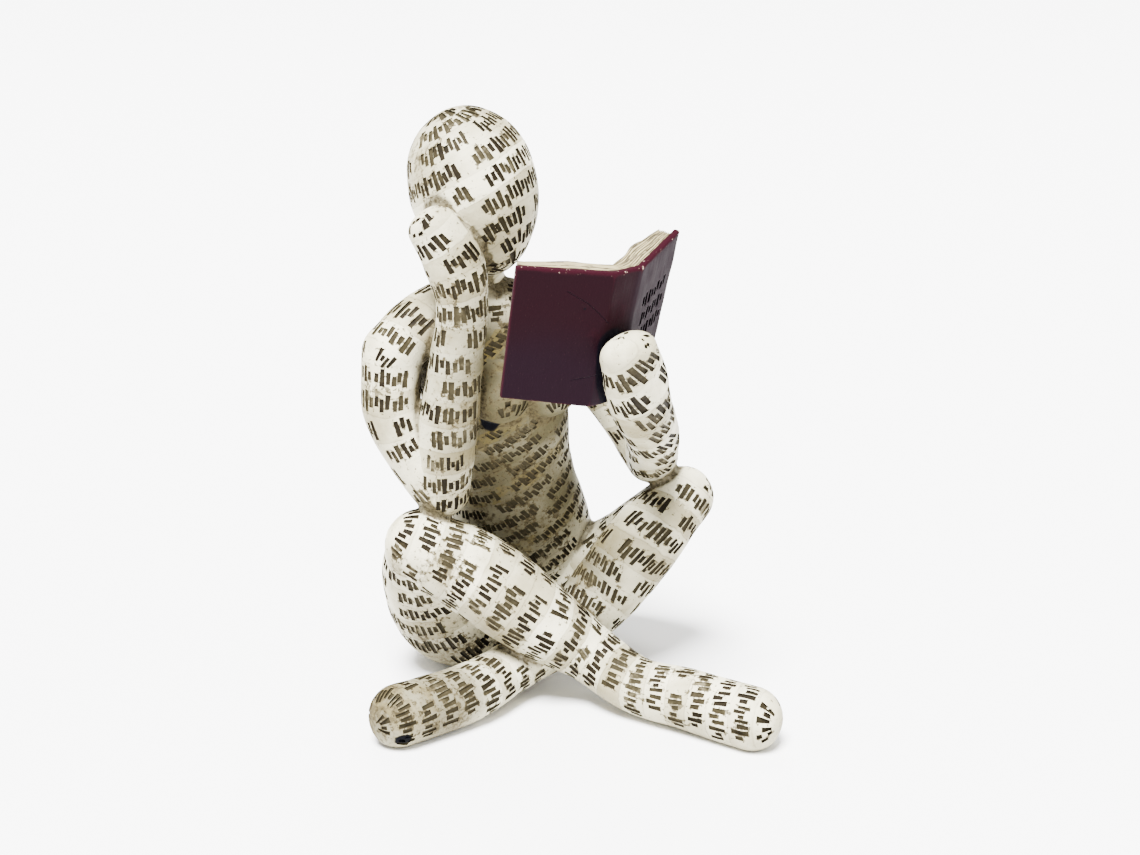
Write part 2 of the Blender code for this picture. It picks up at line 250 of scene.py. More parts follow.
# a table of sections with the length run along the skin from its start
def sections(centre, across, over, halfWidth, halfDepth):
    centre = (centre + np.array(figureSet["shift"])) * mm
    halfWidth, halfDepth = halfWidth * mm, halfDepth * mm
    mean = (halfWidth + halfDepth) / 2.0
    run = np.sqrt((np.diff(centre, axis=0) ** 2).sum(axis=1) + np.diff(mean) ** 2)
    return {"centre": centre, "across": across, "over": over, "halfWidth": halfWidth,
            "halfDepth": halfDepth, "mean": mean, "run": np.concatenate([[0.0], np.cumsum(run)])}


# the point at a run along a wrap and an angle round it: centre + across * width * cos + over * depth * sin
def onWrap(wrap, run, angle):
    def read(key):
        table = wrap[key]
        if table.ndim == 1:
            return np.interp(run, wrap["run"], table)
        return np.stack([np.interp(run, wrap["run"], table[:, axis]) for axis in range(3)], axis=-1)
    wide = (read("halfWidth") * np.cos(angle))[..., None]
    deep = (read("halfDepth") * np.sin(angle))[..., None]
    return read("centre") + unit(read("across")) * wide + unit(read("over")) * deep


wraps = {name: limbSections(side, stations, figureSet["ringCount"])
         for name, (side, stations) in limbs.items()}
wraps["head"] = headSections(figureSet["ringCount"])


# the book's own axes: X over both boards to her left, Y into the leaves, Z up the spine; mm and degrees

bookSet = {
    "height": 41.0, "widthTop": 25.8, "widthFoot": 24.0, "board": 1.8, "spine": 9.0, "footRise": 1.8,
    "leaves": 5.0, "leavesInset": 1.1, "gutter": 4.8, "fold": 28.0,
    "place": (-1.1, -30.3, 115.2), "turn": 14.0, "tilt": 17.7, "lean": -2.0,
    "glueGap": 0.3,
}
fold, halfSpine = math.radians(bookSet["fold"]), bookSet["spine"] / 2


def bookMatrix():
    matrix = Matrix.Translation((Vector(bookSet["place"]) + Vector(figureSet["shift"])) * mm)
    for name, axis in (("turn", "Z"), ("tilt", "X"), ("lean", "Y")):
        matrix = matrix @ Matrix.Rotation(math.radians(bookSet[name]), 4, axis)
    return matrix


# a point out along a board and in from its outer face, for hand -1 or 1, in the book's X and Y
def onBoard(hand, out, into):
    x = halfSpine + out * np.cos(fold) - into * np.sin(fold)
    y = out * np.sin(fold) + into * np.cos(fold)
    return np.stack(np.broadcast_arrays(hand * x, y), axis=-1)


# carries local book points in mm into the frame
def inFrame(points):
    turn = np.array(bookMatrix())
    return np.asarray(points) * mm @ turn[:3, :3].T + turn[:3, 3]


# the closed hull that the hand is shaped to: boards and leaves grown by the glue gap
def gripCutter(material):
    grow = bookSet["glueGap"]
    inner = bookSet["board"] + bookSet["leaves"] * 1.25 + grow
    mitre, back = grow * math.tan(fold / 2), inner * math.tan(fold / 2)

    def loop(width):
        out = width + grow
        return np.array([onBoard(-1, out, -grow), (-halfSpine - mitre, -grow), (halfSpine + mitre, -grow),
                         onBoard(1, out, -grow), onBoard(1, out, inner), (halfSpine - back, inner),
                         (back - halfSpine, inner), onBoard(-1, out, inner)])
    foot, head = loop(bookSet["widthFoot"]), loop(bookSet["widthTop"])
    half = bookSet["height"] / 2 + grow
    rise = bookSet["footRise"] * np.abs(foot[:, :1]) / foot[:, 0].max()
    points = inFrame(np.vstack([np.hstack([foot, rise - half]), np.hstack([head, np.full((8, 1), half)])]))
    corner = np.arange(8)
    following = (corner + 1) % 8
    walls = np.stack([corner, following, following + 8, corner + 8], axis=1)
    caps = np.array([[7, 6, 5, 4], [7, 4, 3, 0], [3, 2, 1, 0]])
    faces = np.vstack([walls, caps, caps[:, ::-1] + 8])
    return meshObject("gripCutter", points, faces, material, smooth=False)


# a wide block below the shelf
def groundCutter(material):
    deep, wide = 0.05, 0.2  # m
    corners = np.array([[x, y, z] for z in (-deep, 0.0) for y in (-wide, wide) for x in (-wide, wide)])
    faces = np.array([[0, 2, 3, 1], [4, 5, 7, 6], [0, 1, 5, 4], [2, 6, 7, 3], [0, 4, 6, 2], [1, 3, 7, 5]])
    return meshObject("groundCutter", corners, faces, material, smooth=False)


# the skin: every wrap as a grid of rings, melted into one casting

# low lumps: a sum of sine waves that run in fixed directions
def lumps(points, size):
    random = np.random.default_rng(7)
    total = np.zeros(len(points))
    for _ in range(figureSet["lumpWaves"]):
        direction = unit(random.normal(size=3))
        length = random.uniform(*figureSet["lumpLengths"])
        total += np.sin(points @ direction * (2 * math.pi / length) + random.uniform(0, 6.28))
    return total * size / 3.0


def buildSkin(material):
    rings, sides = figureSet["ringCount"], figureSet["sideCount"]
    angle = np.linspace(0.0, 2 * math.pi, sides, endpoint=False)
    points, faces = [], []
    for number, wrap in enumerate(wraps.values()):
        run, around = np.meshgrid(wrap["run"], angle, indexing="ij")
        points.append(onWrap(wrap, run, around).reshape(-1, 3))
        faces.append(gridQuads(rings, sides, closed=True) + number * rings * sides)
    skin = meshObject("readingFigureSkin", np.vstack(points), np.vstack(faces), material)
    adjust(skin.modifiers.new("melt limbs", "REMESH"), mode="VOXEL", voxel_size=figureSet["fuseCell"] * mm)
    adjust(skin.modifiers.new("soften creases", "SMOOTH"), factor=0.5, iterations=figureSet["softening"])
    applyModifiers(skin)
    moved = pointsOf(skin.data)
    moved += listOf(skin.data.vertices, "normal") * lumps(moved, figureSet["lumps"] * mm)[:, None]
    skin.data.vertices.foreach_set("co", moved.astype(np.float32).ravel())
    adjust(skin.modifiers.new("fewer faces", "DECIMATE"), ratio=figureSet["keptFaces"])
    cutBy(skin, groundCutter(material), gripCutter(material))
    return skin


skinPaint = bpy.data.materials.new("ivory resin")
stain = bpy.data.materials.new("stain in the marks")
skin = buildSkin(skinPaint)
print("skin fused:", len(skin.data.polygons), "faces")


# rows of marks: shallow bars along a helix wound round each wrap

markSet = {
    "rowPitch": 7.0,  # mm from row to row
    "advance": 5.3,  # mm from mark to mark
    "scale": 1.18,
    "sizes": (0.93, 1.06),  # random share of the scale
    "lean": 0.07,  # random, sideways for each mm of height
    "jitter": 0.06,  # random, share of the advance
    "depth": 0.36,  # mm
    "wordLength": (3, 7),  # marks before a gap
    "apart": 4.9,  # mm, between marks of two wraps
    "reach": (1.7, 2.2),  # mm from a mark's middle to its corners
    "closeness": 0.75,  # mm, a mark further off the skin is left out
    "facing": 0.72,  # least cosine between a mark and the skin
    "ends": 1.0,  # mm kept free at both ends of a wrap
    "leastRadius": 3.0,  # mm of the wrap
    "lowest": 2.2,  # mm above the shelf
}

# for each wrap: start of its rows and height of their slope in mm, where round the wrap the slope starts,
# and how much its marks and rows are stretched along it
rowSet = {
    "neck": (1, 2, 0.6, 1), "torso": (2, 7, 0.2, 0.80),
    "rightBreast": (3, 2, 0, 1), "leftBreast": (3, 2, 0, 1),
    "shoulders": (0.5, 0, 0, 1), "rightUpperArm": (2.5, 1.5, 0.3, 1),
    "rightForearm": (0, 0.6, 2, 1), "leftUpperArm": (1, 0.8, 1, 1),
    "leftForearm": (2, 2.4, 0.6, 1.6), "rightThigh": (2, 2, 1.1, 1),
    "rightShin": (0.8, 0.8, 0.4, 1), "leftThigh": (1.6, 1, 0.9, 1),
    "leftShin": (2.2, 1, 2.2, 1), "head": (1.5, 4.6, 0.4, 1),
}

# each mark is three or four separate upright bars of unlike heights; a bar is x, y and width of its
# lower end, then of its upper end, in mm
markBars = [
    [(-1.45, -2.1, 1.25, -1.35, 2.1, 0.95), (0.05, -0.7, 1, 0, 1.1, 1.25), (1.45, -2.1, 1.2, 1.4, 1.2, 0.95)],
    [(-1.4, -1.4, 1.15, -1.45, 1.5, 0.95), (0.05, -2.1, 1, -0.05, 2.1, 1.3), (1.4, -0.8, 1, 1.5, 1.4, 1.2)],
    [(-1.35, -2.1, 1.35, -1.3, 1.5, 1.05), (0.15, -1, 1, 0.1, 2.1, 1.15), (1.5, -1.5, 0.95, 1.55, 0.9, 1.15)],
    [(-1.5, -0.9, 1, -1.45, 1.2, 1.2), (0, -2.1, 1.35, 0.05, 2.1, 1), (1.5, -1.7, 1.15, 1.45, 1.7, 0.95)],
    [(-1.35, -1.5, 1, -1.3, 2.1, 1.3), (0.15, -2.1, 1.2, 0.1, 0.6, 0.95), (1.5, -1.2, 0.95, 1.5, 2.1, 1.15)],
    [(-1.5, -1.8, 1.1, -1.45, 1.2, 0.95), (-0.05, -1, 1.15, 0.05, 1, 1), (1.5, -2.1, 1, 1.45, 2.1, 1.3)],
    [(-1.35, -2.1, 1, -1.4, 2.1, 1.4), (0.15, -1.6, 1.15, 0.15, 0.8, 0.95),
     (1.45, -0.6, 0.95, 1.4, 1.8, 1.2)],
    [(-1.75, -1.2, 0.8, -1.7, 2.1, 0.95), (-0.6, -2.1, 0.95, -0.6, 1, 0.8),
     (0.6, -0.8, 0.9, 0.55, 0.8, 0.85), (1.7, -1.5, 0.8, 1.7, 2.1, 0.95)],
    [(-1.45, -0.7, 1.2, -1.5, 2.1, 1), (0, -2.1, 1.05, 0, 2.1, 1.4), (1.45, -1.2, 1, 1.5, 0.7, 1.2)],
]


# the helix round a wrap: its run climbs one pitch a turn, on rows that slope by a cosine
def rowRun(name, angle):
    start, slope, turn, stretch = rowSet[name]
    pitch = markSet["rowPitch"] * stretch
    return (start + pitch * angle / (2 * math.pi) + slope * np.cos(angle - turn)) * mm


# marks on rows closer than the common pitch are smaller, by the power 1.3 of the share
def markShare(name):
    return min(1.0, rowSet[name][3]) ** 1.3


# marks stand at even arc lengths along the helix, with a gap after each word
def markPlaces(name, wrap, random):
    pitch, length = markSet["rowPitch"] * rowSet[name][3] * mm, wrap["run"][-1]
    angle = np.linspace(-4.0, 2 * math.pi * (length / pitch + 1.5), 6000)
    run = rowRun(name, angle)
    mean = np.interp(run, wrap["run"], wrap["mean"])
    step = np.sqrt((mean[1:] * np.diff(angle)) ** 2 + np.diff(run) ** 2)
    walked = np.concatenate([[0.0], np.cumsum(step)])
    advance = markSet["advance"] * markShare(name) * mm
    count = int(walked[-1] / advance)
    words = random.integers(*markSet["wordLength"], size=count)
    gaps = np.zeros(count, bool)
    gaps[np.clip(np.cumsum(words + 1), 0, count - 1)] = True
    at = (np.arange(count) + random.uniform(-markSet["jitter"], markSet["jitter"], count)) * advance
    at = at[~gaps]
    angle = np.interp(at, walked, angle)
    run = rowRun(name, angle)
    radius = np.interp(run, wrap["run"], wrap["mean"])
    free = markSet["ends"] * mm
    kept = (run > free) & (run < length - free) & (radius > markSet["leastRadius"] * mm)
    return run[kept], angle[kept]


# local x walks round the wrap and local y along it, both measured on the skin
def onMark(name, wrap, run, angle, x, y):
    mean = np.interp(run, wrap["run"], wrap["mean"])
    _, slope, turn, stretch = rowSet[name]
    tilt = (markSet["rowPitch"] * stretch / (2 * math.pi) - slope * np.sin(angle - turn)) * mm / mean
    turned = angle + (x - y * tilt) * mm / mean
    return onWrap(wrap, run + (y * stretch + x * tilt) * mm, turned)


# a mark is kept where its middle and corners lie close to the melted skin, and face the same way
def keptMarks(name, wrap, run, angle, tree):
    wide, high = markSet["reach"]
    corners = ((0, 0), (-wide, -high), (wide, -high), (-wide, high), (wide, high))
    spots = np.stack([onMark(name, wrap, run, angle, x, y) for x, y in corners], axis=1)
    outward = unit(np.cross(spots[:, 2] - spots[:, 1], spots[:, 3] - spots[:, 1]))
    kept = np.zeros(len(run), bool)
    for number, spot in enumerate(spots):
        near = [tree.find_nearest(Vector(corner)) for corner in spot]
        close = max(found[3] for found in near) < markSet["closeness"] * mm
        facing = min(found[1].dot(Vector(outward[number])) for found in near) > markSet["facing"]
        kept[number] = close and facing and min(found[0].z for found in near) > markSet["lowest"] * mm
    return kept


# a bar's corners in mm: each end goes half its width to both sides, square to the bar
def barCorners(bar):
    ends = np.array(bar).reshape(2, 3)
    side = unit(ends[1:, :2] - ends[:1, :2])[:, ::-1] * (-1, 1) * ends[:, 2:] / 2
    return np.stack([ends[:, :2] - side, ends[:, :2] + side], axis=1).reshape(-1, 2)


barFace = np.array([[0, 1, 3, 2]])


# flat faces become closed walls that reach the depth to both sides
def thicken(cutter, depth):
    adjust(cutter.modifiers.new("wall", "SOLIDIFY"), thickness=2 * depth * mm, offset=0.0)
    return applyModifiers(cutter)


def buildMarks(skin, material):
    random = np.random.default_rng(41)
    tree = BVHTree.FromObject(skin, bpy.context.evaluated_depsgraph_get())
    points, faces, start = [], [], 0
    taken = np.zeros((0, 3))
    for name, wrap in sorted(wraps.items(), key=lambda pair: -len(pair[1]["run"]) * pair[1]["run"][-1]):
        run, angle = markPlaces(name, wrap, random)
        kept = keptMarks(name, wrap, run, angle, tree)
        run, angle = run[kept], angle[kept]
        middles = onWrap(wrap, run, angle)
        apart = np.linalg.norm(middles[:, None] - taken[None], axis=-1).min(axis=1, initial=1.0)
        kept = apart > markSet["apart"] * mm
        run, angle = run[kept], angle[kept]
        taken = np.vstack([taken, middles[kept]])
        kind = random.integers(0, len(markBars), len(run))
        flip = random.choice([-1.0, 1.0], len(run))
        size = random.uniform(*markSet["sizes"], len(run)) * markSet["scale"] * markShare(name)
        lean = random.uniform(-markSet["lean"], markSet["lean"], len(run))
        for number, bars in enumerate(markBars):
            chosen = kind == number
            for bar in bars if chosen.any() else ():
                corners = barCorners(bar)
                x = corners[:, 0] * (flip * size)[chosen][:, None]
                y = corners[:, 1] * size[chosen][:, None]
                x = x + y * lean[chosen][:, None]
                spots = onMark(name, wrap, run[chosen][:, None], angle[chosen][:, None], x, y)
                grid = start + np.arange(len(spots))[:, None] * len(corners) + barFace
                mirrored = flip[chosen] < 0
                grid[mirrored] = grid[mirrored][:, ::-1]
                points.append(spots.reshape(-1, 3))
                faces.append(grid)
                start += spots.shape[0] * spots.shape[1]
    cutter = meshObject("markCutter", np.vstack(points), np.vstack(faces), material, smooth=False)
    adjust(cutter.modifiers.new("onto the skin", "SHRINKWRAP"), target=skin,
           wrap_method="NEAREST_SURFACEPOINT")
    thicken(cutter, markSet["depth"])
    print("marks placed:", len(taken), "with", len(cutter.data.polygons), "cutter faces")
    return cutter, taken


markCutter, markMiddles = buildMarks(skin, stain)
cutBy(skin, markCutter)
print("marks cut:", len(skin.data.polygons), "faces")


# what the paint follows: strips round the wraps, painted shade and grime in creases, dirt and painted shade,
# glazes and painted shade, and the smear round the marks

grimeAndShadeSet = {
    # x, y, z of the middle in the drawing's mm, reach in mm, strength
    # patches of brown dirt and painted shade
    "dirtAndShadePatches": {
        "jaw": (-26, 6, 129, 8, 0.45), "crown": (-19.5, 26, 168, 9, 0.55),
        "temple": (-33.8, 26.5, 154, 12, 0.40), "neckFront": (-23, 8, 119, 9, 0.60),
        "chest": (-18, 13, 88, 17, 0.85), "belly": (-8, 28, 58, 25, 0.60),
        "lap": (-2, 32, 37, 16, 0.70), "rightKneeFront": (-36.5, 7, 45, 8, 0.65),
        "rightKneeSide": (-44, 14, 42, 7, 0.40), "rightThighLow": (-28, 24, 9, 15, 0.65),
        "leftShin": (-42, -10, 12, 15, 0.65), "leftFoot": (-60, -7, 11, 11, 0.90),
        "leftKneeInner": (30, 11, 59, 6, 0.40), "leftThighInner": (4, 4, 27, 9, 0.70),
        "rightElbow": (-34, 14, 58, 5, 0.40), "rightWrist": (-32, 14, 145, 5, 0.40),
        "back": (-4, 52, 70, 24, 0.30),
    },
    "glazesAndShade": {  # broad even brown glaze and painted shade, written as the patches are
        "neck": (-24, 7, 113, 13, 0.60), "upperChest": (-20, 14, 98, 18, 1),
        "chest": (-12, 17, 84, 24, 1), "belly": (-6, 27, 60, 24, 0.93),
        "lap": (-2, 31, 44, 22, 0.86), "waist": (11, 26, 52, 17, 0.92),
        "armCrook": (-32, 24, 86, 10, 0.50), "underBook": (2, 20, 79, 16, 1),
        "leftHip": (12, 16, 35, 15, 0.85), "leftThighInner": (4, 4, 27, 11, 0.40),
        "leftShin": (-42, -9, 11, 17, 0.80), "leftFoot": (-60, -7, 11, 14, 0.82),
        "rightThighLow": (-30, 26, 4, 17, 0.80), "leftElbow": (27, 4, 62, 7, 0.30),
        "temple": (-33, 24, 150, 16, 0.20), "chin": (-24, 12, 126, 10, 0.18),
    },
    "undersideShade": 0.40,  # painted shade where the skin faces down
    "inks": {  # two spilled dark spots: middle, reach, how much flatter than round
        "chestSpot": ((-15.5, 19.0, 80.5), 3.0, 0.6),
        "footSpot": ((-56.3, -13.4, 3.9), 2.7, 1.15),
    },
    "smearReach": 2.6,  # mm round a mark
    "probes": (1.2, 2.4, 4.5),  # mm out from the skin, where the nearest other limb is measured
}


# the section of a wrap whose centre is closest to each point after its own radius is taken off
def nearestSection(wrap, points):
    index = np.empty(len(points), int)
    for part in np.array_split(np.arange(len(points)), max(1, len(points) // 20000)):
        index[part] = (np.sqrt(squares(points[part], wrap["centre"])) - wrap["mean"]).argmin(axis=1)
    return index


# distance off a wrap, with the run and the angle of the foot: the radius of the nearest section's ellipse
# in the point's direction comes off the distance from its centre
def nearWrap(wrap, points):
    along = unit(np.gradient(wrap["centre"], axis=0))
    index = nearestSection(wrap, points)
    away = points - wrap["centre"][index]
    wide, deep = wrap["halfWidth"][index], wrap["halfDepth"][index]
    x, y = (away * wrap["across"][index]).sum(axis=1), (away * wrap["over"][index]).sum(axis=1)
    angle = np.arctan2(y / np.maximum(deep, 1e-6), x / np.maximum(wide, 1e-6))
    distance = np.linalg.norm(away, axis=1) - np.hypot(wide * np.cos(angle), deep * np.sin(angle))
    run = wrap["run"][index] + (away * along[index]).sum(axis=1)
    return distance, run, angle


# strips: V counts the helix turns along the owner wrap, so that a whole number is a strip's edge, and U
# is the angle in turns plus a whole number for the wrap; each corner reads the wrap that owns its face
def paintStrips(item):
    mesh = item.data
    points, middles = pointsOf(mesh), listOf(mesh.polygons, "center")
    sizes, corners = listOf(mesh.polygons, "loop_total", 1), listOf(mesh.loops, "vertex_index", 1)
    pitch = markSet["rowPitch"] * mm
    near = [nearWrap(wrap, middles) for wrap in wraps.values()]
    owner = np.abs([distance for distance, _, _ in near]).argmin(axis=0)
    turn = np.array([angle for _, _, angle in near])[owner, np.arange(len(owner))]
    owner, turn = np.repeat(owner, sizes), np.repeat(turn, sizes)
    coordinates = np.zeros((len(corners), 2))
    for number, (name, wrap) in enumerate(wraps.items()):
        mine = owner == number
        if mine.any():
            _, run, angle = nearWrap(wrap, points[corners[mine]])
            angle = turn[mine] + (angle - turn[mine] + math.pi) % (2 * math.pi) - math.pi
            climb = (run - rowRun(name, angle)) / (pitch * rowSet[name][3])
            turns = angle / (2 * math.pi)
            coordinates[mine] = np.stack([turns + 3 * number, climb + 0.5 + 40 * number], axis=-1)
    setFlatMap(item, "strips", coordinates)


# the strongest of some spots: each is its strength times exp(-(distance / reach) ** (2 * power))
def spotted(spots, drawn, power):
    total = np.zeros(len(drawn))
    for *middle, reach, strength in spots.values():
        away = ((drawn - np.array(middle)) ** 2).sum(axis=1) / reach ** 2
        total = np.maximum(total, strength * np.exp(-away ** power))
    return total


# creases, painted shade with brown grime where limbs lie close: how much closer than the probe's own reach
# another limb is, out from the wrap's middle line, less where the way out also leads away from that limb, as
# where two limbs join; patches of dirt and painted shade, glazes with painted shade and inks fall off with
# distance, and painted shade grows where the skin faces down; smears fall off round each mark's middle, and
# the skin's points on a mark's rim take more
def paintGrimeAndShade(item, middles):
    mesh = item.data
    points = pointsOf(mesh)
    coarse = [{key: value[::3] for key, value in wrap.items()} for wrap in wraps.values()]
    found = np.array([nearWrap(wrap, points)[0] for wrap in coarse])
    owner = np.abs(found).argmin(axis=0)
    outward = np.zeros_like(points)
    for number, wrap in enumerate(coarse):
        mine = owner == number
        if mine.any():
            outward[mine] = unit(points[mine] - wrap["centre"][nearestSection(wrap, points[mine])])
    creaseShadeAndGrime = np.zeros(len(points))
    for probe in grimeAndShadeSet["probes"]:
        there = points + outward * probe * mm
        reached = np.array([nearWrap(wrap, there)[0] for wrap in coarse])
        leaving = (reached - found) / (probe * mm)
        close = np.clip(1.0 - reached / (probe * mm), 0, 1.4) * np.clip(1.0 - 1.4 * leaving, 0, 1)
        close[owner, np.arange(len(points))] = 0.0
        creaseShadeAndGrime += close.max(axis=0)
    creaseShadeAndGrime = np.clip(creaseShadeAndGrime / len(grimeAndShadeSet["probes"]), 0, 1)
    drawn = points / mm - np.array(figureSet["shift"])
    dirtAndShade = spotted(grimeAndShadeSet["dirtAndShadePatches"], drawn, 1.2)
    # painted shade: darker where the skin faces down
    glazeAndShade = grimeAndShadeSet["undersideShade"] * np.clip(0.25 - outward[:, 2], 0, 1)
    glazeAndShade = np.maximum(glazeAndShade, spotted(grimeAndShadeSet["glazesAndShade"], drawn, 1.6))
    ink = np.zeros(len(points))
    for middle, reach, flat in grimeAndShadeSet["inks"].values():
        away = np.linalg.norm((drawn - np.array(middle)) * (1.0, 1.0, flat), axis=1) / reach
        ink = np.maximum(ink, np.clip(1.5 - away, 0, 1))
    random = np.random.default_rng(23)
    strength = random.beta(0.7, 1.6, len(middles))
    tone = random.uniform(0, 1, len(middles))
    halo, paled = np.zeros(len(points)), np.zeros(len(points))
    material, sizes = [listOf(mesh.polygons, key, 1) for key in ("material_index", "loop_total")]
    rim = np.zeros(len(points), bool)
    rim[listOf(mesh.loops, "vertex_index", 1)[np.repeat(material == 1, sizes)]] = True
    for part in np.array_split(np.arange(len(points)), max(1, len(points) // 8000)):
        square = squares(points[part], middles)
        nearest = square.argmin(axis=1)
        smear = 0.7 * np.exp(-square.min(axis=1) / (grimeAndShadeSet["smearReach"] * mm) ** 2)
        paled[part] = tone[nearest]
        halo[part] = (0.25 + 0.75 * strength[nearest]) * smear + rim[part] * (0.45 + 0.55 * tone[nearest])
    for name, values in {"creaseShadeAndGrime": creaseShadeAndGrime, "dirtAndShade": dirtAndShade, "glazeAndShade": glazeAndShade, "ink": ink, "halo": halo,
                         "paled": paled}.items():
        setPointValues(item, name, values)


paintStrips(skin)
paintGrimeAndShade(skin, markMiddles)
print("skin painted")


# finishes

# a value in a node tree, whose sums and products are math nodes
class Value:
    def __init__(self, tree, socket):
        self.tree, self.socket = tree, socket

    def __add__(self, other):
        return calculate("ADD", self, other)

    def __sub__(self, other):
        return calculate("SUBTRACT", self, other)

    def __rsub__(self, other):
        return calculate("SUBTRACT", other, self)

    def __mul__(self, other):
        return calculate("MULTIPLY", self, other)


# adds a node and gives one of its outputs; its inputs are values of the tree or plain ones
def put(tree, kind, inputs=(), output=0, **settings):
    node = adjust(tree.nodes.new(kind), **settings)
    for key, value in dict(inputs).items():
        if isinstance(value, Value):
            tree.links.new(value.socket, node.inputs[key])
        else:
            node.inputs[key].default_value = value
    return Value(tree, node.outputs[output]) if node.outputs else None


def calculate(operation, *values, clamp=False):
    tree = next(value.tree for value in values if isinstance(value, Value))
    return put(tree, "ShaderNodeMath", enumerate(values), operation=operation, use_clamp=clamp)


def vectorMath(vector, operation, by):
    return put(vector.tree, "ShaderNodeVectorMath", {0: vector, 1: by}, operation=operation)


# the greater of two values
def greater(first, second):
    return calculate("MAXIMUM", first, second)


# carries a value from one range to another, with eased ends
def ease(value, low, high, outLow=0.0, outHigh=1.0):
    return put(value.tree, "ShaderNodeMapRange", {"Value": value, "From Min": low, "From Max": high,
               "To Min": outLow, "To Max": outHigh}, "Result", interpolation_type="SMOOTHSTEP")


def noise(place, scale, detail=2.0, roughness=0.5, distortion=0.0):
    return put(place.tree, "ShaderNodeTexNoise", {"Vector": place, "Scale": scale, "Detail": detail,
               "Roughness": roughness, "Distortion": distortion}, "Fac")


def blendColours(share, first, second, mode="MIX"):
    first, second = [value if isinstance(value, Value) else (*value, 1.0) for value in (first, second)]
    return put(share.tree, "ShaderNodeMix", {0: share, 6: first, 7: second}, 2,
               data_type="RGBA", blend_type=mode)


# lays colours over one another, each by its own share
def layered(colour, colours, shares):
    for name, share in shares:
        colour = blendColours(share, colour, colours[name])
    return colour


def attributes(tree, *names):
    return [put(tree, "ShaderNodeAttribute", output="Fac", attribute_name=name) for name in names]


# a flat map of a piece, with its two coordinates
def flatPlace(tree, name):
    flat = put(tree, "ShaderNodeUVMap", uv_map=name)
    return [flat] + [put(tree, "ShaderNodeSeparateXYZ", {"Vector": flat}, axis) for axis in ("X", "Y")]


# an empty tree, and the object's own coordinates
def startMaterial(material):
    material.use_nodes = True
    tree = material.node_tree
    tree.nodes.clear()
    return tree, put(tree, "ShaderNodeTexCoord", output="Object")


def finishMaterial(colour, roughness, height, distance, specular):
    tree = colour.tree
    bump = put(tree, "ShaderNodeBump", {"Height": height, "Distance": distance, "Strength": 1.0})
    shader = put(tree, "ShaderNodeBsdfPrincipled", {"Base Color": colour, "Roughness": roughness,
                 "Normal": bump, "Specular IOR Level": specular})
    put(tree, "ShaderNodeOutputMaterial", {"Surface": shader})


ivorySet = {
    "ivory": (0.70, 0.655, 0.475),
    "cream": (0.27, 0.24, 0.145),
    "wash": (0.076, 0.061, 0.031),  # the thin brown wash, also the colour of painted shade
    "grimeAndDeepShade": (0.014, 0.010, 0.004),  # where it dried thick, and deep painted shade
    "glazeAndShade": (0.112, 0.105, 0.076),  # multiplies the ivory: brown glaze and painted shade
    "ochre": (0.115, 0.085, 0.020),
    "ink": (0.0010, 0.0011, 0.0020),
    "stripLine": 0.05,  # share of a strip
    "roughness": (0.38, 0.70),
    "bump": 0.00045,  # m
    "specular": 0.05,
    # noises: scale, detail, roughness, distortion
    "noises": {
        "wobble": (140.0, 3.0),
        "broad": (55.0, 4.0, 0.55),
        "patchy": (230.0, 5.0, 0.6, 0.4),
        "fine": (1100.0, 3.0, 0.6),
        "grain": (820.0, 3.0, 0.6),
        "specks": (1250.0, 2.0, 0.5),
    },
}


# spilled ink with a ragged edge
def spilled(patchy, ink):
    return ease(patchy * 0.6 + ink, 0.70, 0.88)


